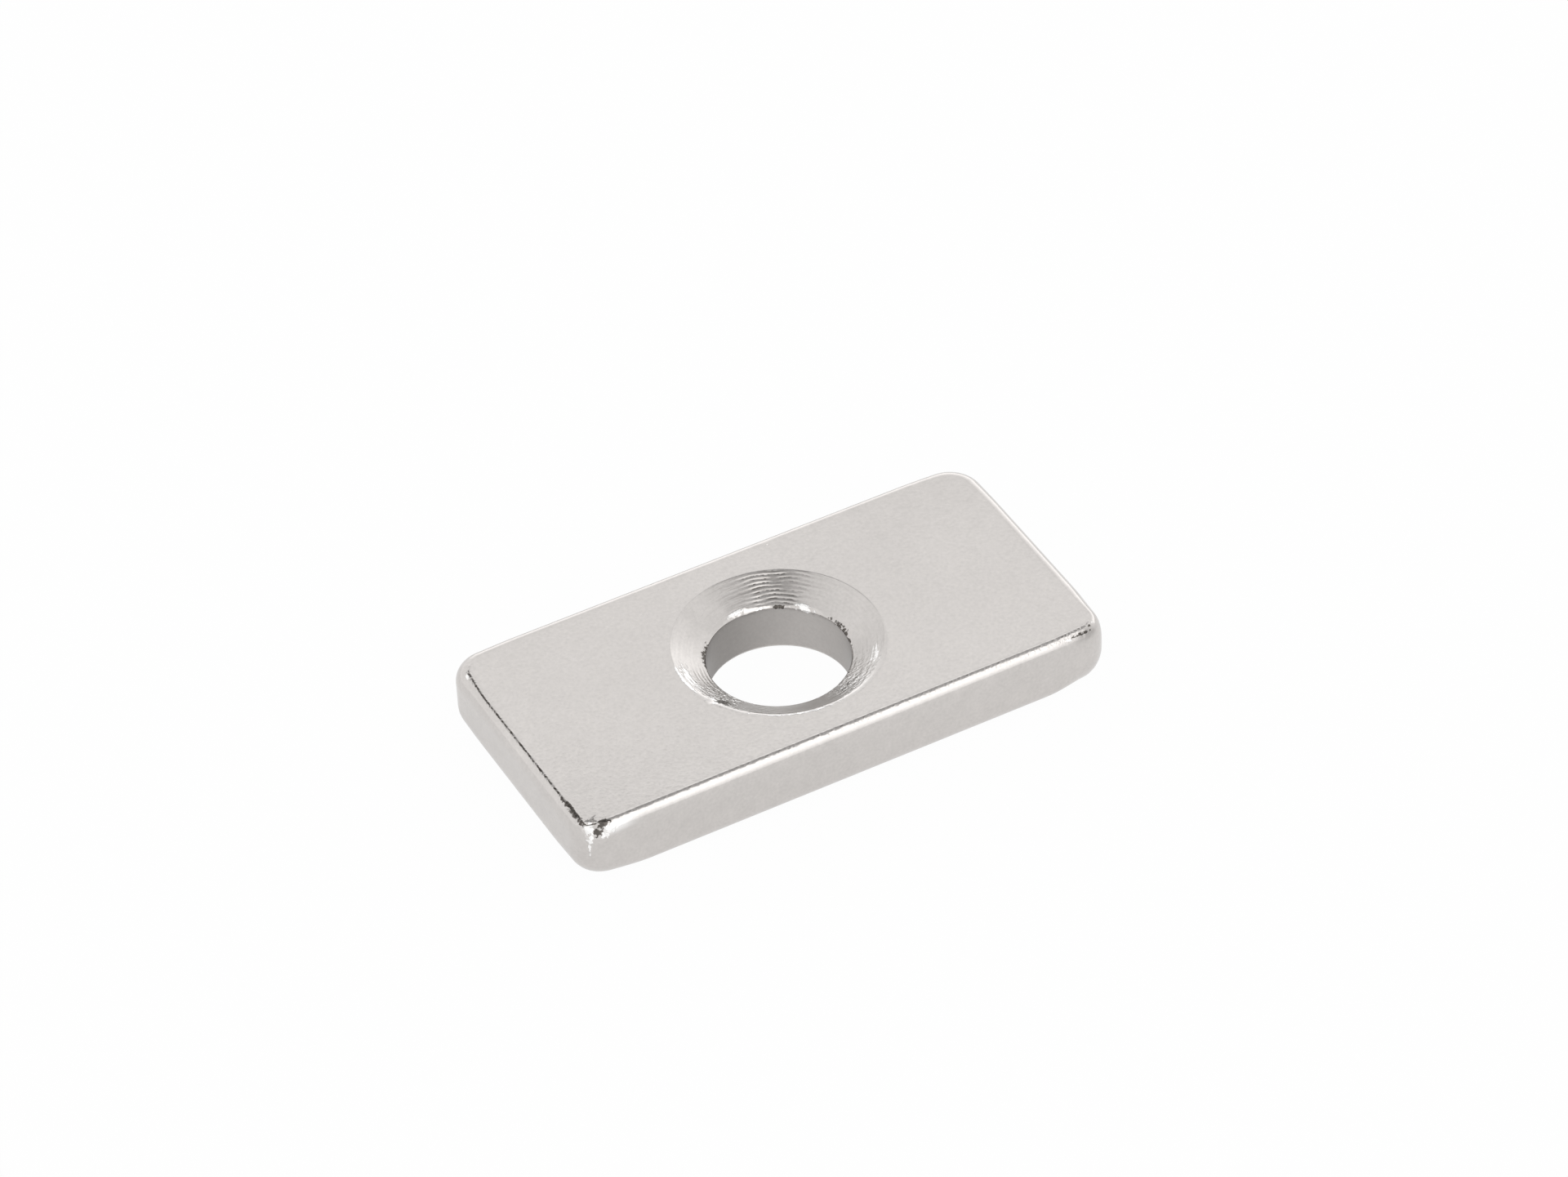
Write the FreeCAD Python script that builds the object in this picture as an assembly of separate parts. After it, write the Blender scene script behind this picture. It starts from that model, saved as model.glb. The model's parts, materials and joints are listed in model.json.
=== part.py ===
import FreeCAD, Part

import math
import os

from FreeCAD import Vector

# A sintered block magnet with a countersunk screw hole, tumbled and then nickel plated.
# It is one piece: the plating is bonded to the core and follows its shape.
# Frame: the origin is on the hole's axis at the underside, +X runs along the length,
# +Y across the width, and +Z points out of the countersunk face.
# Lengths are in millimetres and angles in degrees.

# Block
block_length = 20.0
block_width = 10.0
block_thickness = 2.5
corner_radius = 1.2

# Edges rounded by tumbling, more so round the underside
top_edge_radius = 0.45
bottom_edge_radius = 0.7

# Screw hole, countersunk with a drill point; the countersink is measured at the top face
hole_diameter = 4.9
countersink_diameter = 7.2
countersink_angle = 118.0

# The hole's own edges, softened by tumbling and plating
lip_radius = 0.12
throat_radius = 0.08
rim_radius = 0.15

# How far the hole's cutting shape stands out of the block at each end
cutter_overrun = 1.0

# How close two places must be to count as the same
same_place = 0.001

half_angle = math.radians(countersink_angle / 2)
hole_radius = hole_diameter / 2
countersink_radius = countersink_diameter / 2
countersink_depth = (countersink_radius - hole_radius) / math.tan(half_angle)
throat_height = block_thickness - countersink_depth


def round_corner(centre, start):
    """Quarter circle about the centre, turning left from the start angle."""
    points = []
    for turn in (0, 45, 90):
        angle = math.radians(start + turn)
        points.append(centre + Vector(math.cos(angle), math.sin(angle), 0) * corner_radius)
    return Part.Arc(*points).toShape()


def block_outline():
    """The block seen from above: a rectangle with round corners, centred on the hole."""
    reach_x = block_length / 2 - corner_radius
    reach_y = block_width / 2 - corner_radius
    corners = [
        round_corner(Vector(reach_x, reach_y, 0), 0),
        round_corner(Vector(-reach_x, reach_y, 0), 90),
        round_corner(Vector(-reach_x, -reach_y, 0), 180),
        round_corner(Vector(reach_x, -reach_y, 0), 270),
    ]
    edges = []
    for corner, following in zip(corners, corners[1:] + corners[:1]):
        side = Part.makeLine(corner.Vertexes[-1].Point, following.Vertexes[0].Point)
        edges.extend([corner, side])
    return Part.Face(Part.Wire(edges))


def level_edges(shape, height):
    """The shape's edges that lie flat at this height."""
    found = []
    for edge in shape.Edges:
        box = edge.BoundBox
        if abs(box.ZMin - height) < same_place and abs(box.ZMax - height) < same_place:
            found.append(edge)
    return found


def ring_edges(shape, radius, height):
    """The hole's round edge of this radius at this height."""
    found = []
    for edge in level_edges(shape, height):
        curve = edge.Curve
        if isinstance(curve, Part.Circle) and abs(curve.Radius - radius) < same_place:
            if math.hypot(curve.Center.x, curve.Center.y) < same_place:
                found.append(edge)
    return found


def tumbled_block():
    """The block without its hole, with its top and bottom edges rounded all round."""
    block = block_outline().extrude(Vector(0, 0, block_thickness))
    block = block.makeFillet(top_edge_radius, level_edges(block, block_thickness))
    return block.makeFillet(bottom_edge_radius, level_edges(block, 0))


def hole_cutter():
    """The space of the bore and the countersink, turned about the hole's axis."""
    top = block_thickness + cutter_overrun
    top_radius = countersink_radius + cutter_overrun * math.tan(half_angle)
    profile = [
        Vector(0, 0, -cutter_overrun),
        Vector(hole_radius, 0, -cutter_overrun),
        Vector(hole_radius, 0, throat_height),
        Vector(top_radius, 0, top),
        Vector(0, 0, top),
    ]
    section = Part.Face(Part.makePolygon(profile + profile[:1]))
    return section.revolve(Vector(0, 0, 0), Vector(0, 0, 1), 360)


def magnet_block():
    """The whole magnet: the tumbled block with its hole, and the hole's edges softened."""
    magnet = tumbled_block().cut(hole_cutter())
    magnet = magnet.makeFillet(lip_radius, ring_edges(magnet, countersink_radius, block_thickness))
    magnet = magnet.makeFillet(throat_radius, ring_edges(magnet, hole_radius, throat_height))
    return magnet.makeFillet(rim_radius, ring_edges(magnet, hole_radius, 0))


os.makedirs("parts", exist_ok=True)
magnet_block().exportStep("parts/magnet_block.step")
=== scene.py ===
import json
import math

import bpy
import numpy as np
from mathutils import Matrix, Vector, noise


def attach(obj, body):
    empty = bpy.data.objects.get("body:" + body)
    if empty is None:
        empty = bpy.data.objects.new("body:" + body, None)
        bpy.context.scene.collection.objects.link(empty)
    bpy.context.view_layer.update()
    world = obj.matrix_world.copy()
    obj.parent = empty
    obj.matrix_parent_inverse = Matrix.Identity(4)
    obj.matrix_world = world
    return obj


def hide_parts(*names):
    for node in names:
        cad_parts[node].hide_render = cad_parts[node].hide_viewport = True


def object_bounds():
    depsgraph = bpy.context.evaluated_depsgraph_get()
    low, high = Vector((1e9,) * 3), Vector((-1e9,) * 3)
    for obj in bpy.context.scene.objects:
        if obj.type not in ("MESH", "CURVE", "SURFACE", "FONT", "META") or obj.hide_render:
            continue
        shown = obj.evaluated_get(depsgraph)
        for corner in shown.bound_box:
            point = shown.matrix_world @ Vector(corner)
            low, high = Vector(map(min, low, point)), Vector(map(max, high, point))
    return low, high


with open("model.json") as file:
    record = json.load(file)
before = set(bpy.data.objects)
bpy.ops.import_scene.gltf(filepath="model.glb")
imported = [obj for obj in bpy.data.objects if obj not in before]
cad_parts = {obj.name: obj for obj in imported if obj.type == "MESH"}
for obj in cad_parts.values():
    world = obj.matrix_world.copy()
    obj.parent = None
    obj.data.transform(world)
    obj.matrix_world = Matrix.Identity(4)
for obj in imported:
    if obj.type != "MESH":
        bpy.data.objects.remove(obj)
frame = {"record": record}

# A nickel-plated block magnet with a countersunk screw hole, on a white sweep in a soft studio.
# Lengths of the magnet are in millimetres, as in its drawing, and become metres in its mesh.
# Directions round the hole are in degrees from +X, turning towards +Y, which is the back.
MM = 0.001
cad_low, cad_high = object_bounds()

# Sizes that the frame gives
LENGTH = (cad_high.x - cad_low.x) / MM
WIDTH = (cad_high.y - cad_low.y) / MM
THICKNESS = (cad_high.z - cad_low.z) / MM
MOUNTS = {mount["name"]: mount for mount in frame["record"]["mounts"]}
BORE = MOUNTS["screw_hole"]["dims"]["r_mm"]

# The countersink: its radius at the top face, its half angle, and the throat where it meets the bore
CONE_TOP = 3.6
CONE_HALF_ANGLE = math.radians(59)
SLOPE = math.pi / 2 - CONE_HALF_ANGLE
SLOPE_LENGTH = (CONE_TOP - BORE) / math.cos(SLOPE)
THROAT = THICKNESS - (CONE_TOP - BORE) / math.tan(CONE_HALF_ANGLE)

# The hole's softened edges. The lip is worn rounder towards the front. The throat is broken by a
# narrow flat, wider where a ragged bead runs along it, which starts and ends in a soft crease.
LIP_ROUND = 0.03
SOFT_LIP = 0.28
THROAT_BREAK = 0.012
BEAD_BREAK = 0.035
CREASE = 0.012
RIM_ROUND = 0.15

# Tumbled edges, at the right, back, left and front side. At the top the inset is how wide the
# rounding is on the level face, and the drop is how far it reaches down the side. At the bottom one
# size is both, but the inset stays under this share of the tightest corner.
TOP_INSET = (0.47, 0.44, 0.35, 0.33)
TOP_DROP = (0.47, 0.46, 0.50, 0.58)
BOTTOM_ROUND = (0.70, 0.65, 0.83, 0.63)
BOTTOM_SHARE = 0.95

# The corners, each after its side: back right, back left, front left, front right.
# They are worn more than the sides, so there the rounding is wider and goes further down or up.
# The level face is square at the front-left corner, which was knocked flat instead.
CORNER = (1.20, 1.12, 1.05, 1.00)
SQUARE = 2
TOP_CORNER = (0.56, 0.52, 0.0, 0.41)
TOP_CORNER_DROP = (0.58, 0.60, 0.62, 0.95)
BOTTOM_CORNER = (0.90, 0.92, 1.00, 1.20)
WORN_REACH = 1.5

# The knocked corner: a place on its flat, which way that faces, and how uneven it is
KNOCK_PLACE = np.array((-9.51, -4.58, 2.37))
KNOCK_WAY = np.array((-0.431, -0.781, 0.452))
KNOCK_UNEVEN = 0.02

# How far the flat top droops towards its edge, and over what distance
DROOP = 0.0006
DROOP_REACH = 0.14

# Points round the outline and the hole. They lie closer together near each corner, by a density
# that is added up along the outline in this many steps.
AROUND = 738
CORNER_DENSITY = (0.8, 0.8, 3.6, 1.6)
DENSE_REACH = 1.2
DENSITY_STEPS = 8000

# Loops of points along each part of the section. Round the top edge they are given by their angle
# above the side instead, closer together where the curve starts.
RIM_LOOPS = 5
BORE_LOOPS = 10
THROAT_LOOPS = 4
CONE_LOOPS = 56
LIP_LOOPS = 5
TOP_LOOPS = 9
SIDE_LOOPS = 6
BOTTOM_LOOPS = 10
UNDERSIDE_LOOPS = 6
TOP_EDGE_ANGLES = (90, 87, 83, 78, 72, 65, 57, 49, 41, 33, 25, 17, 9, 0)

# The flat top's loops near the lip, by their distance from it, and near the rounding of the top edge,
# by their distance from it and how near its worn start they are. The other loops lie between these.
PAST_LIP = (0.05, 0.11, 0.19)
FLAT_FROM = 0.22
FLAT_TO = 0.27
BEFORE_EDGE = ((FLAT_TO, 0.0), (0.16, 0.0), (0.08, 0.0), (0.035, 0.2), (0.012, 0.6))

# Wear, tone, painted shade and painted highlights in stretches round the hole, each as its direction, its
# spread and its strength
BEAD = ((88, 17, 1.0), (38, 13, 1.0))
LIP_BATTERED = ((-171, 15, 0.4),)
THROAT_ROUGH = ((88, 20, 1.0), (60, 12, 1.4), (38, 15, 1.0), (155, 28, 0.9), (5, 18, 0.9))
THROAT_DARK = ((61, 8, 0.75), (-2, 28, 0.67), (150, 26, 0.69))
THROAT_CHIPPED = ((148, 22, 0.60), (4, 20, 0.57))
# Painted glints along the throat
THROAT_BRIGHT = ((40, 13, 0.74), (77, 8, 0.66))
THROAT_GLINTS = ((96, 13, 0.76), (43, 11, 0.70))
CONE_GROOVED = ((-170, 24, 0.25), (-46, 18, 0.20))
CONE_STREAKY = ((-168, 25, 1.3), (-48, 30, 1.0))
# Where painted shade darkens the cone's fine streaks
CONE_STREAKED = ((-172, 20, 0.8), (-48, 22, 0.6), (75, 25, 0.7))
CONE_GRITTY = ((-152, 20, 1.0), (-62, 26, 1.0))
CONE_CREASED = ((-152, 24, 1.0), (-56, 26, 1.0))
# Painted highlights on the cone's front
CONE_SHEEN = ((-146, 29, 0.90), (-72, 20, 0.86))
# Painted shade on the cone, and where the bore's painted shade is lighter
CONE_SHADED = ((63, 20, 0.22), (-29, 15, 0.13))
BORE_LIGHTER = ((34, 56, 0.58),)

# Painted shade and painted highlights on the cone and its lip, each as its direction and spread, its radius
# and reach, and its strength
CONE_DARK = ((-152, 16, 3.10, 0.50, 0.50), (-70, 26, 2.95, 0.45, 0.49), (66, 13, 3.45, 0.20, 0.36))
CONE_BRIGHT = ((179, 24, 3.34, 0.32, 0.71), (-40, 20, 3.28, 0.42, 0.565))
LIP_BRIGHT = ((180, 19, 3.61, 0.10, 0.76), (-108, 44, 3.65, 0.08, 0.70))

# The cutter's grooves: how far apart they are, their height, and where at the back they are deepest
GROOVE_PITCH = 0.125
GROOVE_HEIGHT = 0.0045
DEEPEST, DEEPEST_SPREAD = 64, 18

# Spots, each as centre, size along each axis, and strength: dark pits, with painted dark reflections
# at the knocked corner and along the left edge, and battered places whose bright tone is painted highlight
DARK_SPOTS = (
    ((-9.08, -4.76, 2.44), (0.34, 0.24, 0.22), 0.74),
    ((-9.22, -4.76, 2.34), (0.30, 0.24, 0.26), 0.68),
    ((-9.35, -4.77, 2.19), (0.28, 0.26, 0.26), 0.72),
    ((-9.38, -4.43, 2.50), (0.34, 0.16, 0.08), 0.53),
    ((-9.70, -3.85, 2.48), (0.16, 1.45, 0.16), 0.69),
    ((8.95, -4.81, 2.38), (0.72, 0.09, 0.09), 0.73),
    ((9.28, -4.64, 2.42), (0.13, 0.09, 0.12), 0.66),
    ((-3.04, -1.60, 2.30), (0.26, 0.24, 0.20), 0.53),
)
BRIGHT_SPOTS = (
    ((-9.57, -4.60, 2.30), (0.25, 0.28, 0.36), 0.74),
    ((-9.60, -4.74, 2.02), (0.19, 0.19, 0.36), 0.67),
    ((-9.64, -4.75, 1.60), (0.085, 0.085, 0.52), 0.63),
    ((-8.92, -4.93, 2.28), (0.34, 0.20, 0.24), 0.74),
    ((-9.14, -4.95, 2.12), (0.22, 0.16, 0.22), 0.68),
    ((-9.72, 3.80, 2.47), (0.13, 0.16, 0.10), 0.70),
    ((2.03, 4.44, 2.50), (0.15, 0.06, 0.08), 0.66),
    ((8.38, -4.86, 2.35), (0.16, 0.11, 0.11), 0.68),
    ((9.46, -4.55, 2.39), (0.13, 0.10, 0.11), 0.70),
    ((-3.22, -1.58, 2.44), (0.22, 0.10, 0.12), 0.66),
)

# How dark the painted dark reflection is where the top face turns into its left edge and into its
# front edge, and how much darker it gets along the left towards the knocked corner
EDGE_SHADE_LEFT = 0.65
EDGE_SHADE_FRONT = 0.45
EDGE_SHADE_TO_KNOCK = 0.08

# How much rougher the cone and the bore are than the plating, and how much painted shade darkens
# them: the cone all over, the cone's back left part, and the bore
CONE_ROUGHER = 0.12
BORE_ROUGHER = 0.22
CONE_SHADE = 0.03
BACK_LEFT_SHADE = 0.04
BORE_SHADE = 0.84

# Painted highlight and painted shade on the plating, beside the two front corners
SHEEN_SPOTS = (((-8.80, -4.96, 2.26), (0.70, 0.16, 0.17), 0.85),)
SHADED_SPOTS = (((9.10, -4.86, 2.33), (0.52, 0.22, 0.19), 0.60),)

# Dents, whose strength is their depth: one in the back edge, and one in the lip
BACK_DENTS = (((2.10, 4.62, 2.48), (0.20, 0.08, 0.20), 0.025),)
LIP_DENTS = (((-3.34, -1.42, 2.48), (0.13, 0.13, 0.16), 0.030),)

# Heights of the skin's unevenness: in the battered spots, whose dark pits also lie deeper, in the grit
# and the fine streaks of the cone, at the ragged throat, and in the waves of the sides and worn edges
BATTERED_HEIGHT = 0.030
PIT_DEPTH = 0.015
GRIT_HEIGHT = 0.012
STREAK_HEIGHT = 0.0022
RAGGED_HEIGHT = 0.007
SIDE_WAVES = 0.0012
EDGE_WAVES = 0.0060

# The fine streaks of the cone: how wide each is, and how many follow each other in a radian
STREAK_WIDTH = 0.09
STREAKS_ROUND = 2.2

# The marks that the mesh carries and the material shows, painted shade and painted highlights among them
MARKS = (
    "machined", "rough", "painted_sheen", "shaded", "grooves", "grooved", "streaked", "creased", "pits_and_shade", "painted_glint",
)


def smooth_step(x):
    """0 below 0, 1 above 1, and smooth between."""
    x = np.clip(x, 0.0, 1.0)
    return x * x * (3.0 - 2.0 * x)


def lumps(places, size, seed, mask=None):
    """Smooth noise between about -1 and 1 at each place, with lumps about this size across."""
    shift = Vector((17.3 * seed, -5.1 * seed, 9.7 * seed))
    flat = (places / size).reshape(-1, 3)
    values = np.zeros(len(flat))
    used = range(len(flat)) if mask is None else np.nonzero(mask.reshape(-1) > 0.01)[0]
    for i in used:
        values[i] = noise.noise(Vector(flat[i]) + shift)
    values = values.reshape(places.shape[:-1])
    return values if mask is None else values * mask


def near_way(degrees, centre, spread):
    """A soft mask about one direction round the hole."""
    away = (degrees - centre + 180) % 360 - 180
    return np.exp(-((away / spread) ** 2))


def near_value(values, middle, spread):
    """A soft mask about one value, such as a radius of the hole."""
    return np.exp(-(((values - middle) / spread) ** 2))


def near_place(places, centre, size):
    """A soft mask about a place. Its size is given along each axis."""
    away = (places - np.array(centre)) / np.array(size)
    return np.exp(-((away ** 2).sum(axis=-1)) ** 1.4)


def stretches(degrees, parts):
    """How much each direction lies in the stretches of one kind of wear."""
    return sum(strength * near_way(degrees, centre, spread) for centre, spread, strength in parts)


def scuffs(degrees, radius, parts):
    """How much each place round the hole lies in the scuffs of one kind."""
    return sum(
        strength * near_way(degrees, centre, spread) * near_value(radius, middle, reach)
        for centre, spread, middle, reach, strength in parts
    )


def spots(places, parts):
    """How much each place lies in any of the spots."""
    found = np.zeros(places.shape[:-1])
    for centre, size, strength in parts:
        found = np.maximum(found, strength * near_place(places, centre, size))
    return found


class Outline:
    """The magnet seen from above: points round its widest outline, and its edges' rounding at each."""

    def __init__(self):
        self.reach = [(LENGTH / 2 - r, WIDTH / 2 - r) for r in CORNER]
        self.arcs = [r * math.pi / 2 for r in CORNER]
        runs = [
            self.reach[0][0] + self.reach[1][0],
            self.reach[1][1] + self.reach[2][1],
            self.reach[2][0] + self.reach[3][0],
            self.reach[3][1] + self.reach[0][1],
        ]
        self.total = sum(self.arcs) + sum(runs)
        self.starts = [sum(self.arcs[:k]) + sum(runs[:k]) for k in range(4)]
        self.middles = [start + arc / 2 for start, arc in zip(self.starts, self.arcs)]
        rows = [self.point(along) for along in self.spread_out()]
        self.place, self.outward, self.inset, self.drop, self.bottom = (np.array(v) for v in zip(*rows))

    def from_middle(self, along, k):
        """How far places along the outline are past the middle of a corner, or before it if negative."""
        return (along - self.middles[k] + self.total / 2) % self.total - self.total / 2

    def spread_out(self):
        """Where the points lie along the outline, closer together near the corners."""
        fine = np.linspace(0, self.total, DENSITY_STEPS + 1)
        density = np.ones_like(fine)
        for k, extra in enumerate(CORNER_DENSITY):
            density += extra * near_value(self.from_middle(fine, k), 0, DENSE_REACH)
        counted = np.concatenate([[0], np.cumsum((density[1:] + density[:-1]) / 2)])
        return np.interp(np.arange(AROUND) / AROUND * counted[-1], counted, fine)

    def point(self, along):
        """One point: its place, the way out, and the top edge's inset and drop and the bottom's rounding."""
        signs = ((1, 1), (-1, 1), (-1, -1), (1, -1))
        k = max(q for q in range(4) if self.starts[q] <= along)
        after = (k + 1) % 4
        step = along - self.starts[k]
        turn = min(step / self.arcs[k], 1.0)
        run = max(step - self.arcs[k], 0.0)
        angle = math.pi / 2 * (k + turn)
        outward = np.array([math.cos(angle), math.sin(angle)])
        centre = np.array(signs[k]) * np.array(self.reach[k])
        place = centre + CORNER[k] * outward + run * np.array([-outward[1], outward[0]])

        gap = [abs(self.from_middle(along, q)) for q in range(4)]
        near = int(np.argmin(gap))
        worn = (1 + math.cos(math.pi * min(gap[near] / (self.arcs[near] / 2 + WORN_REACH), 1.0))) / 2
        blend = (1 - math.cos(math.pi * turn)) / 2
        sizes = []
        for sides, corners in (
            (TOP_INSET, TOP_CORNER), (TOP_DROP, TOP_CORNER_DROP), (BOTTOM_ROUND, BOTTOM_CORNER),
        ):
            size = sides[k] * (1 - blend) + sides[after] * blend
            sizes.append(size + (corners[near] - size) * worn)
        if near == SQUARE:
            sizes[0] = self.square_inset(turn, k, after)
        return place, outward, *sizes

    def square_inset(self, turn, k, after):
        """The top edge's inset that leaves the level face square at a round corner."""
        if k != SQUARE:
            return TOP_INSET[after]
        lean = math.pi / 2 * turn
        # The least value keeps both divisions below finite
        across, along = max(math.cos(lean), 0.01), max(math.sin(lean), 0.01)
        return CORNER[k] - min((CORNER[k] - TOP_INSET[k]) / across, (CORNER[k] - TOP_INSET[after]) / along)


class Skin:
    """Rows of points along the magnet's section, each row a closed loop round the hole's axis."""

    def __init__(self):
        self.outline = Outline()
        self.places, self.normals, self.machined, self.edge = [], [], [], []
        flat = self.outline.place - self.outline.outward * self.outline.inset[:, None]
        angle = np.arctan2(flat[:, 1], flat[:, 0])
        self.spoke = np.stack([np.cos(angle), np.sin(angle)], axis=1)
        self.degrees = np.degrees(angle)

    def row(self, plan, height, plan_normal, lift, machined=0.0, edge=0.0):
        """One loop: where it lies, its normal, how machined it is and how near a worn edge's start."""
        spread = [np.broadcast_to(value, (AROUND,)) for value in (height, lift, machined, edge)]
        self.places.append(np.column_stack([plan, spread[0]]))
        self.normals.append(np.column_stack([plan_normal, spread[1]]))
        self.machined.append(spread[2])
        self.edge.append(spread[3])

    def ring(self, radius, height, tilt, machined=0.0, edge=0.0):
        """A loop about the hole. The tilt is its normal's angle above the inward direction."""
        radius = np.broadcast_to(radius, (AROUND,))[:, None]
        inward = -self.spoke * math.cos(tilt)
        self.row(self.spoke * radius, height, inward, math.sin(tilt), machined, edge)

    def band(self, inset, height, tilt, edge=0.0):
        """A loop that follows the outline. The tilt is its normal's angle above the outward direction."""
        inset = np.broadcast_to(inset, (AROUND,))[:, None]
        plan = self.outline.place - self.outline.outward * inset
        self.row(plan, height, self.outline.outward * math.cos(tilt), math.sin(tilt), 0.0, edge)

    def flat(self, share, height, inner_radius, inset, side):
        """A loop on a level face, a share of the way from the hole's edge to the outline's edge."""
        inner = self.spoke * np.broadcast_to(inner_radius, (AROUND,))[:, None]
        outer = self.outline.place - self.outline.outward * inset[:, None]
        self.row(inner + (outer - inner) * share, height, self.spoke * 0, side)


def eased(count):
    """Shares from 0 to 1, both left out, closer together towards both ends."""
    t = np.linspace(0, 1, count + 2)[1:-1]
    return 0.4 * t + 0.6 * smooth_step(t)


def add_bore(skin, low):
    """The rounded rim at the underside, and the bore up to the broken throat."""
    for a in np.radians(np.linspace(-90, 0, RIM_LOOPS)):
        skin.ring(BORE + RIM_ROUND * (1 - math.cos(a)), RIM_ROUND * (1 + math.sin(a)), a)
    for share in np.linspace(0, 1, BORE_LOOPS + 1)[1:]:
        skin.ring(BORE, RIM_ROUND + (THROAT - low - CREASE - RIM_ROUND) * share, 0.0)


def add_throat(skin, low, wide):
    """The narrow flat that breaks the throat, with the soft crease at its lower edge."""
    skin.ring(BORE + 0.25 * CREASE, THROAT - low - 0.2 * CREASE, math.pi / 8, edge=0.5)
    for share in np.linspace(0, 1, THROAT_LOOPS):
        out = 0.7 * CREASE + (wide - 1.4 * CREASE) * share
        skin.ring(BORE + out, THROAT - low + out, math.pi / 4, edge=1.0)


def add_cone(skin, wide, lip_round, lip_run):
    """The cone, from past the broken throat, and its rounded lip."""
    start = (wide + 0.8 * CREASE) / math.cos(SLOPE)
    for share in np.linspace(0, 1, CONE_LOOPS + 1)[:-1]:
        run = start + (SLOPE_LENGTH - lip_run - start) * share
        radius, height = BORE + run * math.cos(SLOPE), THROAT + run * math.sin(SLOPE)
        skin.ring(radius, height, CONE_HALF_ANGLE, machined=1.0)
    for a in np.linspace(CONE_HALF_ANGLE, math.pi / 2, LIP_LOOPS):
        radius = CONE_TOP + lip_run - lip_round * math.cos(a)
        skin.ring(radius, THICKNESS - lip_round * (1 - math.sin(a)), a, machined=0.2)


def add_top(skin, lip_edge):
    """The flat top, from the lip to where the rounding of the top edge starts."""
    outline = skin.outline
    flat_edge = outline.place - outline.outward * outline.inset[:, None]
    flat_width = np.hypot(*flat_edge.T) - lip_edge
    for past in PAST_LIP:
        skin.ring(lip_edge + past, THICKNESS, math.pi / 2)
    for share in eased(TOP_LOOPS):
        droop = DROOP * np.exp(-(flat_width * (1 - share) + FLAT_TO) / DROOP_REACH)
        skin.flat(share, THICKNESS - droop, lip_edge + FLAT_FROM, outline.inset + FLAT_TO, 1.0)
    for before, edge in BEFORE_EDGE:
        droop = DROOP * math.exp(-before / DROOP_REACH)
        skin.band(outline.inset + before, THICKNESS - droop, math.pi / 2, edge)


def add_outside(skin):
    """The rounded top edge, the side, the rounded bottom edge and the flat underside."""
    outline = skin.outline
    for a in np.radians(TOP_EDGE_ANGLES):
        inset = outline.inset * (1 - math.cos(a))
        height = THICKNESS - DROOP - (outline.drop - DROOP) * (1 - math.sin(a))
        skin.band(inset, height, a, smooth_step((math.degrees(a) - 40) / 35))
    high = THICKNESS - outline.drop
    for share in eased(SIDE_LOOPS):
        skin.band(0.0, high + (outline.bottom - high) * share, 0.0)
    under = np.minimum(outline.bottom, BOTTOM_SHARE * min(CORNER))
    for a in np.linspace(0, -math.pi / 2, BOTTOM_LOOPS):
        skin.band(under * (1 - math.cos(a)), outline.bottom * (1 + math.sin(a)), a)
    for share in eased(UNDERSIDE_LOOPS):
        skin.flat(1 - share, 0.0, BORE + RIM_ROUND, under, -1.0)


def section():
    """The whole section, from the underside's rim up the bore and round to the underside again."""
    skin = Skin()
    around = np.column_stack([skin.spoke * 3.0, np.zeros(AROUND)])
    uneven = 1 + 0.6 * lumps(around, 0.35, 21) + 0.5 * lumps(around, 0.12, 23)
    low = THROAT_BREAK + BEAD_BREAK * stretches(skin.degrees, BEAD) * uneven
    wide = low / (1 - math.tan(SLOPE))

    spin = np.radians(skin.degrees)
    frontward = smooth_step(-2 * np.sin(spin) - 0.6 * np.cos(spin))
    worn = 1 + 0.5 * lumps(around, 0.4, 22) + stretches(skin.degrees, LIP_BATTERED)
    lip_round = LIP_ROUND + SOFT_LIP * frontward * worn
    lip_run = lip_round * math.tan(SLOPE / 2)

    add_bore(skin, low)
    add_throat(skin, low, wide)
    add_cone(skin, wide, lip_round, lip_run)
    add_top(skin, CONE_TOP + lip_run)
    add_outside(skin)
    return skin


def knocked_off(places):
    """How far each place stood out beyond the flat of the knocked corner."""
    corner = (places[..., 0] < -8.5) * (places[..., 1] < -4.0) * 1.0
    out = (places - KNOCK_PLACE) @ KNOCK_WAY - KNOCK_UNEVEN * lumps(places, 0.12, 41, corner)
    return np.maximum(out, 0)


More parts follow.
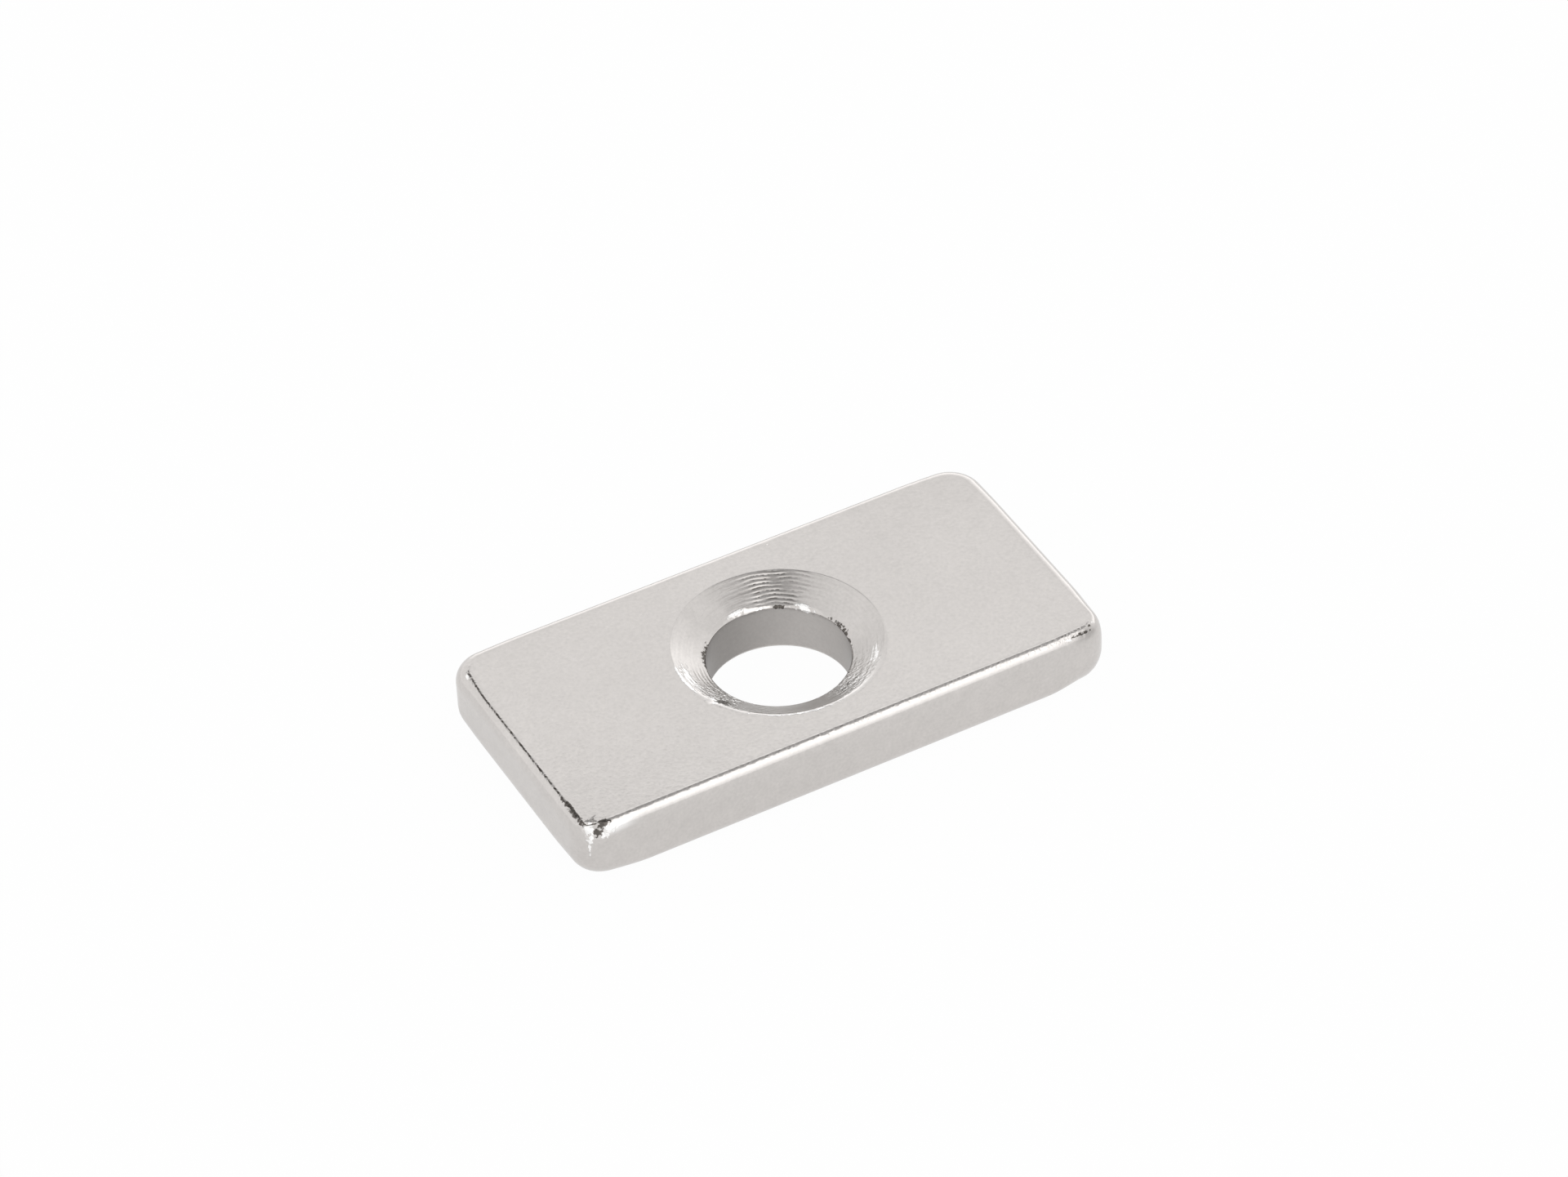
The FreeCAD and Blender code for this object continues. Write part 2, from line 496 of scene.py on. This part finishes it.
class Marks:
    """The marks, wear, painted shade and painted highlights at each point of the skin: how far they lift it,
    and how much each one shows.
    """

    def __init__(self, skin):
        places, normals = np.array(skin.places), np.array(skin.normals)
        self.machined, self.edge = np.array(skin.machined), np.array(skin.edge)
        self.degrees = np.degrees(np.arctan2(places[..., 1], places[..., 0]))
        self.radius = np.hypot(places[..., 0], places[..., 1])
        self.outward = skin.outline.outward
        self.outer_edge = self.edge * (self.radius > CONE_TOP + 0.05)
        self.dark, self.bright = spots(places, DARK_SPOTS), spots(places, BRIGHT_SPOTS)
        self.places = places - KNOCK_WAY * knocked_off(places)[..., None]
        self.tilt = np.sqrt(1 - normals[..., 2] ** 2)
        self.grooves, self.grooved = self.cutter_grooves()

    def cutter_grooves(self):
        """Grooves that the countersink's cutter left: their count along the cone, and how deep they are."""
        wander = 0.045 * lumps(self.places, 0.7, 3, self.machined)
        wander = wander + 0.009 * lumps(self.places, 0.22, 24, self.machined)
        deep = np.exp(-(((self.degrees - DEEPEST) / DEEPEST_SPREAD) ** 4)) + 0.05
        deep = deep + stretches(self.degrees, CONE_GROOVED)
        uneven = np.clip(0.85 + 1.5 * lumps(self.places, 0.40, 4, self.machined), 0.05, 1.6)
        return (self.radius + wander) / GROOVE_PITCH, self.machined * deep * uneven

    def hole_lift(self):
        """Fine streaks round the cone, grit on its front, and the ragged throat."""
        spin = np.radians(self.degrees)
        across, round_x, round_y = self.radius / STREAK_WIDTH, np.cos(spin), np.sin(spin)
        stretched = np.stack([across, STREAKS_ROUND * round_x, STREAKS_ROUND * round_y], axis=-1)
        streaky = STREAK_HEIGHT * (1 + stretches(self.degrees, CONE_STREAKY))
        gritty = self.machined * stretches(self.degrees, CONE_GRITTY)
        ragged = RAGGED_HEIGHT * (0.3 + stretches(self.degrees, THROAT_ROUGH))
        lift = streaky * lumps(stretched, 1.0, 5, self.machined)
        lift = lift + GRIT_HEIGHT * lumps(self.places, 0.11, 8, gritty)
        return lift + ragged * lumps(self.places, 0.07, 6, self.edge * (self.radius < CONE_TOP))

    def lift(self):
        """How far each point stands out from the plain skin, or in from it where that is negative."""
        battered = np.maximum(self.dark, self.bright)
        lift = BATTERED_HEIGHT * lumps(self.places, 0.08, 32, battered) - PIT_DEPTH * self.dark
        lift = self.tilt * lift
        lift = lift - self.tilt * spots(self.places, BACK_DENTS) - spots(self.places, LIP_DENTS)
        lift = lift + self.hole_lift()
        lift = lift + GROOVE_HEIGHT * self.grooved * np.sin(2 * math.pi * self.grooves)
        lift = lift + SIDE_WAVES * self.tilt ** 2 * lumps(self.places, 0.45, 11)
        return lift + EDGE_WAVES * self.tilt * lumps(self.places, 0.16, 12, self.outer_edge)

    def throat_wear_and_glints(self):
        """The ragged ring between the cone and the bore: how dark it is worn there, and its painted glints.
        """
        upper = smooth_step((self.places[..., 2] - THROAT + 0.10) / 0.05)
        along_throat = near_value(self.radius, BORE + 0.03, 0.075)
        dark = along_throat * stretches(self.degrees, THROAT_DARK)
        chipped = near_value(self.radius, BORE + 0.08, 0.125) * stretches(self.degrees, THROAT_CHIPPED)
        bright = along_throat * stretches(self.degrees, THROAT_BRIGHT)
        glints = near_value(self.radius, BORE + 0.12, 0.120) * stretches(self.degrees, THROAT_GLINTS)
        return np.maximum(dark, chipped) * upper, np.maximum(bright, glints) * upper

    def cone_shade_and_highlights(self):
        """Painted shade and painted highlights on the cone and its lip: how dark and how bright they are."""
        dark = scuffs(self.degrees, self.radius, CONE_DARK)
        bright = scuffs(self.degrees, self.radius, CONE_BRIGHT)
        lip = scuffs(self.degrees, self.radius, LIP_BRIGHT) * (self.places[..., 2] > THROAT)
        return self.machined * dark, np.maximum(self.machined * bright, lip)

    def edge_shade(self):
        """The painted dark reflection where the top face turns into its left and front edges."""
        leftward = smooth_step((-0.2 - self.outward[:, 0]) / 0.6)[None, :]
        leftward = leftward * smooth_step(8.8 - 2 * self.places[..., 1])
        frontward = smooth_step((-0.2 - self.outward[:, 1]) / 0.6)[None, :]
        towards_knock = smooth_step(-self.places[..., 1] / 3 - 0.8)
        edge_shade = EDGE_SHADE_LEFT * leftward + EDGE_SHADE_FRONT * frontward + EDGE_SHADE_TO_KNOCK * leftward * towards_knock
        return edge_shade * self.outer_edge * near_value(np.degrees(np.arcsin(self.tilt)), 9, 9)

    def maps(self):
        """How much each mark shows at each point. The grooves are a running count instead."""
        throat_dark, throat_bright = self.throat_wear_and_glints()
        cone_dark, cone_bright = self.cone_shade_and_highlights()
        bore = (self.radius < BORE + 0.01) * (self.places[..., 2] < THROAT)
        back_left = smooth_step((self.degrees - 55) / 20) * smooth_step((127 - self.degrees) / 2.5)
        near_side = smooth_step((0.3 - self.outward[:, 0] - self.outward[:, 1]) / 0.6)[None, :]
        # Painted shade on the cone, most at its back, and in the recess of the bore
        cone_shade = CONE_SHADE + BACK_LEFT_SHADE * back_left + stretches(self.degrees, CONE_SHADED)
        bore_shade = BORE_SHADE - stretches(self.degrees, BORE_LIGHTER)
        cone_creased = self.machined * stretches(self.degrees, CONE_CREASED)
        cone_sheen = self.machined * stretches(self.degrees, CONE_SHEEN)
        return {
            "machined": self.machined,
            "rough": CONE_ROUGHER * self.machined + BORE_ROUGHER * bore,
            "painted_sheen": cone_sheen + spots(self.places, SHEEN_SPOTS),
            "shaded": self.machined * cone_shade + spots(self.places, SHADED_SPOTS) + bore * bore_shade,
            "grooves": self.grooves,
            "grooved": self.grooved,
            "streaked": self.machined * stretches(self.degrees, CONE_STREAKED),
            "creased": self.outer_edge * near_side + cone_creased,
            # Pits and dark wear, with painted dark reflections along the edges, at the knocked corner and on
            # the cone
            "pits_and_shade": np.maximum(self.dark, self.edge_shade()) + throat_dark + cone_dark,
            # Painted highlights on battered spots, along the throat, on the cone and on its lip
            "painted_glint": self.bright + throat_bright + cone_bright,
        }


def build_magnet():
    """The magnet's skin as one closed mesh, with its marks and wear."""
    skin = section()
    marks = Marks(skin)
    places = marks.places + np.array(skin.normals) * marks.lift()[..., None]
    places[..., 2] = np.clip(places[..., 2], 0.0, THICKNESS)
    rows = len(places)
    index = np.arange(rows * AROUND).reshape(rows, AROUND)
    following = np.roll(index, -1, axis=0)
    corners = [index, following, np.roll(following, -1, axis=1), np.roll(index, -1, axis=1)]
    faces = np.stack(corners, axis=-1)

    mesh = bpy.data.meshes.new("plated_magnet")
    mesh.from_pydata((places.reshape(-1, 3) * MM).tolist(), [], faces.reshape(-1, 4).tolist())
    mesh.update()
    mesh.polygons.foreach_set("use_smooth", [True] * len(mesh.polygons))
    maps = marks.maps()
    for name in MARKS:
        layer = mesh.attributes.new(name, "FLOAT", "POINT")
        layer.data.foreach_set("value", maps[name].reshape(-1).astype(np.float32))
    magnet = bpy.data.objects.new("plated_magnet", mesh)
    bpy.context.scene.collection.objects.link(magnet)
    return magnet


class Nodes:
    """Short ways to add and join nodes in one node tree."""

    def __init__(self, tree):
        self.tree = tree

    def add(self, kind, **settings):
        node = self.tree.nodes.new("ShaderNode" + kind)
        for name, value in settings.items():
            setattr(node, name, value)
        return node

    def feed(self, source, target):
        self.tree.links.new(source, target)

    def maths(self, operation, first, second=0.0):
        """A Math node of two inputs, each a number or another node's output. Some use only the first."""
        node = self.add("Math", operation=operation)
        for socket, value in zip(node.inputs, (first, second)):
            if isinstance(value, (int, float)):
                socket.default_value = value
            else:
                self.feed(value, socket)
        return node.outputs["Value"]

    def between(self, value, start, end):
        """0 at the start, 1 at the end, and smooth between."""
        node = self.add("MapRange", interpolation_type="SMOOTHSTEP")
        node.inputs["From Min"].default_value = start
        node.inputs["From Max"].default_value = end
        self.feed(value, node.inputs["Value"])
        return node.outputs["Result"]

    def blended(self, share, first, second):
        """A value that goes from the first to the second as the share goes from 0 to 1."""
        node = self.add("Mix", data_type="FLOAT")
        for socket, value in zip((node.inputs[0], node.inputs[2], node.inputs[3]), (share, first, second)):
            if isinstance(value, float):
                socket.default_value = value
            else:
                self.feed(value, socket)
        return node.outputs[0]

    def speckle(self, place, scale, detail):
        """Noise of this many lumps to the unit, which is a metre for a place on the object."""
        node = self.add("TexNoise")
        node.inputs["Scale"].default_value = scale
        node.inputs["Detail"].default_value = detail
        self.feed(place, node.inputs["Vector"])
        return node.outputs["Fac"]

    def coloured(self, kind, share, below, colour):
        """A colour mixed with, or multiplied by, another one by a share."""
        node = self.add("MixRGB", blend_type=kind)
        node.inputs["Color2"].default_value = (*colour, 1.0)
        self.feed(share, node.inputs["Fac"])
        self.feed(below, node.inputs["Color1"])
        return node.outputs["Color"]

    def ramp(self, share, stops):
        """A colour ramp whose stops are each a place and a colour."""
        node = self.add("ValToRGB")
        elements = node.color_ramp.elements
        for place, _ in stops[1:-1]:
            elements.new(place)
        for element, (place, colour) in zip(elements, stops):
            element.position = place
            element.color = (*colour, 1.0)
        self.feed(share, node.inputs["Fac"])
        return node.outputs["Color"]


# Noise in arcs: how many arcs there are to the metre across them, and to the radian along them
ARCS_ACROSS = 20000.0
ARCS_ROUND = 3.0


def arcs_about_axis(nodes, place):
    """Noise in fine arcs about the hole's axis."""
    axes = nodes.add("SeparateXYZ")
    nodes.feed(place, axes.inputs["Vector"])
    spin = nodes.maths("ARCTAN2", axes.outputs["Y"], axes.outputs["X"])
    squares = [nodes.maths("POWER", axes.outputs[name], 2.0) for name in "XY"]
    radius = nodes.maths("SQRT", nodes.maths("ADD", *squares))
    arcs = nodes.add("CombineXYZ")
    nodes.feed(nodes.maths("MULTIPLY", radius, ARCS_ACROSS), arcs.inputs["X"])
    nodes.feed(nodes.maths("MULTIPLY", nodes.maths("SINE", spin), ARCS_ROUND), arcs.inputs["Y"])
    nodes.feed(nodes.maths("MULTIPLY", nodes.maths("COSINE", spin), ARCS_ROUND), arcs.inputs["Z"])
    return nodes.speckle(arcs.outputs["Vector"], 1.0, 3.0)


# Nickel's two tones, which its mottle runs between, the pit tone and painted shade that the marks multiply
# them by, and the painted highlight
NICKEL_DARKER = (0.590, 0.564, 0.545)
NICKEL_LIGHTER = (0.702, 0.672, 0.650)
PAINTED_SHADE = (0.38, 0.375, 0.37)
STREAK_SHADE = (0.74, 0.73, 0.72)
GROOVE_SHADE = (0.38, 0.37, 0.36)
PIT_AND_SHADE_TONE = (0.18, 0.17, 0.16)
PAINTED_HIGHLIGHT = (1.0, 0.99, 0.98)

# Where a mark and its noise add up to this much, it starts to show, and at the second it is full
SHOWS, SHOWS_FULLY = 0.98, 1.12

# Roughness of the plating, from its smoothest to its roughest mottle
SMOOTHEST, ROUGHEST = 0.10, 0.15

# Height of the finest relief in metres, and how many times that is added where the plating is worn
FINE_RELIEF = 1.8e-6
WORN_RELIEF = 9.0


def nickel():
    """Bright nickel plating, a little warm, faintly mottled, rougher where it was machined, with painted
    shade there and in the bore, painted highlights, and its wear.
    """
    material = bpy.data.materials.new("nickel_plating")
    material.use_nodes = True
    nodes = Nodes(material.node_tree)
    shader = material.node_tree.nodes["Principled BSDF"]
    shader.inputs["Metallic"].default_value = 1.0
    marks = {name: nodes.add("Attribute", attribute_name=name).outputs["Fac"] for name in MARKS}
    place = nodes.add("TexCoord").outputs["Object"]
    mottle = nodes.speckle(place, 1800.0, 6.0)
    clouds = nodes.speckle(place, 260.0, 2.0)
    flecks = nodes.speckle(place, 9000.0, 3.0)
    chips = nodes.speckle(place, 7000.0, 4.0)
    streaks = arcs_about_axis(nodes, place)

    # The plating's own tone, then painted shade on the cone and in the bore, along the streaks and in the
    # grooves
    mixed = nodes.blended(0.42, nodes.blended(0.35, mottle, clouds), flecks)
    colour = nodes.ramp(mixed, ((0.3, NICKEL_DARKER), (0.7, NICKEL_LIGHTER)))
    colour = nodes.coloured("MULTIPLY", marks["shaded"], colour, PAINTED_SHADE)
    # Painted shade along the cone's fine streaks
    lines = nodes.maths("MULTIPLY", marks["streaked"], nodes.between(streaks, 0.52, 0.38))
    colour = nodes.coloured("MULTIPLY", lines, colour, STREAK_SHADE)
    # Painted shade in the bottoms of the cutter's grooves
    wave = nodes.maths("SINE", nodes.maths("MULTIPLY", marks["grooves"], 2 * math.pi))
    furrow = nodes.maths("MULTIPLY", nodes.between(wave, -0.35, -0.95), nodes.between(chips, 0.42, 0.58))
    furrow = nodes.maths("MULTIPLY", furrow, marks["grooved"])
    colour = nodes.coloured("MULTIPLY", furrow, colour, GROOVE_SHADE)

    # Painted highlights, and over them the pits and painted shade
    ragged = nodes.blended(marks["machined"], chips, nodes.blended(0.6, chips, streaks))
    shiny = nodes.between(nodes.maths("ADD", marks["painted_glint"], ragged), SHOWS, SHOWS_FULLY)
    painted_sheen = nodes.maths("MAXIMUM", shiny, marks["painted_sheen"])
    colour = nodes.coloured("MIX", painted_sheen, colour, PAINTED_HIGHLIGHT)
    pits_and_shade_mask = nodes.between(nodes.maths("ADD", marks["pits_and_shade"], flecks), SHOWS, SHOWS_FULLY)
    colour = nodes.coloured("MULTIPLY", pits_and_shade_mask, colour, PIT_AND_SHADE_TONE)
    nodes.feed(colour, shader.inputs["Base Color"])

    grain = nodes.add("MapRange")
    grain.inputs["From Min"].default_value = 0.3
    grain.inputs["From Max"].default_value = 0.7
    grain.inputs["To Min"].default_value = SMOOTHEST
    grain.inputs["To Max"].default_value = ROUGHEST
    nodes.feed(mottle, grain.inputs["Value"])
    roughness = nodes.maths("ADD", grain.outputs["Result"], marks["rough"])
    nodes.feed(roughness, shader.inputs["Roughness"])

    # Fine relief: faint flecks all over, higher where the plating is worn and at the pits, painted shade and
    # painted highlights, and the streaks
    worn = nodes.maths("MAXIMUM", marks["creased"], nodes.maths("MAXIMUM", pits_and_shade_mask, shiny))
    higher = nodes.maths("ADD", nodes.maths("MULTIPLY", worn, WORN_RELIEF), 1.0)
    height = nodes.maths("MULTIPLY", flecks, higher)
    height = nodes.maths("ADD", height, nodes.maths("MULTIPLY", streaks, marks["streaked"]))
    bump = nodes.add("Bump")
    bump.inputs["Strength"].default_value = 1.0
    bump.inputs["Distance"].default_value = FINE_RELIEF
    nodes.feed(height, bump.inputs["Height"])
    nodes.feed(bump.outputs["Normal"], shader.inputs["Normal"])
    return material


def camera():
    """The photo's camera: where it stands about the magnet, in millimetres, its roll and its lens."""
    azimuth, elevation, roll = (math.radians(a) for a in (-27.175, 41.530, -2.653))
    distance, aside, above = 225.0, 0.111, 3.617
    focal_pixels, image_width, sensor_width = 8202.7, 1920, 36.0
    back = Vector((
        math.sin(azimuth) * math.cos(elevation),
        -math.cos(azimuth) * math.cos(elevation),
        math.sin(elevation),
    ))
    level_right = back.cross(Vector((0, 0, -1))).normalized()
    level_up = back.cross(level_right)
    right = level_right * math.cos(roll) + level_up * math.sin(roll)
    up = level_up * math.cos(roll) - level_right * math.sin(roll)
    data = bpy.data.cameras.new("camera")
    data.sensor_width = sensor_width
    data.lens = focal_pixels / image_width * sensor_width
    data.clip_start, data.clip_end = 0.01, 10.0
    holder = bpy.data.objects.new("camera", data)
    spot = (back * distance + right * aside + up * above) * MM
    holder.matrix_world = Matrix.Translation(spot) @ Matrix((right, up, back)).transposed().to_4x4()
    bpy.context.scene.collection.objects.link(holder)
    bpy.context.scene.camera = holder


# The floor: how far it reaches each way, and how far below the underside it lies, both in metres,
# its colour, and how much of it is plain white to the camera and in the magnet's reflections
FLOOR_REACH = 0.6
FLOOR_DROP = 0.02 * MM
FLOOR_COLOUR = (0.8, 0.8, 0.8, 1.0)
WHITE_TO_CAMERA = 0.97
WHITE_IN_REFLECTIONS = 0.65


def floor():
    """A pale sweep just below the underside, almost white to the camera but for a soft shadow.

    From below it is see-through, so that the underside can be looked at.
    """
    mesh = bpy.data.meshes.new("floor")
    ways = ((-1, -1), (1, -1), (1, 1), (-1, 1))
    corners = [(x * FLOOR_REACH, y * FLOOR_REACH, -FLOOR_DROP) for x, y in ways]
    mesh.from_pydata(corners, [], [(0, 1, 2, 3)])
    sweep = bpy.data.objects.new("floor", mesh)
    bpy.context.scene.collection.objects.link(sweep)
    material = bpy.data.materials.new("pale_floor")
    material.use_nodes = True
    nodes = Nodes(material.node_tree)
    material.node_tree.nodes.remove(material.node_tree.nodes["Principled BSDF"])
    paper = nodes.add("BsdfDiffuse")
    paper.inputs["Color"].default_value = FLOOR_COLOUR
    path = nodes.add("LightPath").outputs
    seen = nodes.maths("MULTIPLY", path["Is Camera Ray"], WHITE_TO_CAMERA)
    mirrored = nodes.maths("ADD", path["Is Glossy Ray"], path["Is Transmission Ray"])
    share = nodes.maths("ADD", seen, nodes.maths("MULTIPLY", mirrored, WHITE_IN_REFLECTIONS))
    blend = nodes.add("MixShader")
    nodes.feed(share, blend.inputs["Fac"])
    nodes.feed(paper.outputs["BSDF"], blend.inputs[1])
    nodes.feed(nodes.add("Emission").outputs["Emission"], blend.inputs[2])
    one_sided = nodes.add("MixShader")
    nodes.feed(nodes.add("NewGeometry").outputs["Backfacing"], one_sided.inputs["Fac"])
    nodes.feed(blend.outputs["Shader"], one_sided.inputs[1])
    nodes.feed(nodes.add("BsdfTransparent").outputs["BSDF"], one_sided.inputs[2])
    nodes.feed(one_sided.outputs["Shader"], material.node_tree.nodes["Material Output"].inputs["Surface"])
    mesh.materials.append(material)


# How bright the studio is. Behind the magnet, by the sine of the angle above the horizon: a backdrop
# that is brighter low down on the right, below a dim ceiling. Over it and in front, by the angle from
# the back horizon over the top to the front one, as a share of half a turn: the dim ceiling, and then
# a wide soft light over the camera. The dim ceiling is a strip that ends on the left and the right.
BACKDROP_LEFT = ((0.0, 1.04), (0.60, 0.98), (0.655, 1.00), (0.69, 1.25), (0.715, 0.30), (1.0, 0.30))
BACKDROP_RIGHT = (
    (0.0, 1.52), (0.18, 1.50), (0.42, 1.15), (0.60, 0.94),
    (0.655, 0.98), (0.69, 1.29), (0.715, 0.46), (1.0, 0.46),
)
OVERHEAD = ((0.46, 0.48), (0.59, 0.55), (0.66, 1.75), (0.86, 1.75), (0.94, 1.42), (0.985, 1.20), (1.0, 1.08))
SIDE_WALLS = 1.0
BRIGHTEST = 2.0

# The strip's soft ends and where the backdrop turns from left to right, along the direction's X
STRIP_LEFT = (-0.36, -0.20)
STRIP_RIGHT = (0.52, 0.42)
BACKDROP_TURNS = (0.08, 0.28)


def brightness(nodes, levels, along):
    """A ramp of brightness levels."""
    shares = [(place, (level / BRIGHTEST,) * 3) for place, level in levels]
    return nodes.maths("MULTIPLY", nodes.ramp(along, shares), BRIGHTEST)


def studio():
    """White surroundings, brighter and dimmer in broad bands. The camera sees them as plain white."""
    world = bpy.data.worlds.new("studio")
    world.use_nodes = True
    nodes = Nodes(world.node_tree)
    background = world.node_tree.nodes["Background"]
    direction = nodes.add("SeparateXYZ")
    nodes.feed(nodes.add("TexCoord").outputs["Generated"], direction.inputs["Vector"])
    aside, up = direction.outputs["X"], direction.outputs["Z"]
    over = nodes.maths("DIVIDE", nodes.maths("ARCTAN2", up, direction.outputs["Y"]), math.pi)
    left, right = brightness(nodes, BACKDROP_LEFT, up), brightness(nodes, BACKDROP_RIGHT, up)
    behind = nodes.blended(nodes.between(aside, *BACKDROP_TURNS), left, right)
    strip = nodes.maths("MULTIPLY", nodes.between(aside, *STRIP_LEFT), nodes.between(aside, *STRIP_RIGHT))
    walls = nodes.maths("MULTIPLY", nodes.maths("SUBTRACT", 1.0, strip), SIDE_WALLS)
    behind = nodes.maths("MAXIMUM", behind, walls)
    overhead = nodes.blended(strip, SIDE_WALLS, brightness(nodes, OVERHEAD, over))
    level = nodes.blended(nodes.maths("GREATER_THAN", over, OVERHEAD[0][0]), behind, overhead)
    seen = nodes.add("LightPath").outputs["Is Camera Ray"]
    background.inputs["Color"].default_value = (1.0, 1.0, 1.0, 1.0)
    nodes.feed(nodes.blended(seen, level, 1.0), background.inputs["Strength"])
    bpy.context.scene.world = world


magnet = build_magnet()
magnet.data.materials.append(nickel())
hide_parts("magnet_block")
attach(magnet, "root")
camera()
floor()
studio()
bpy.context.scene.view_settings.view_transform = "Standard"
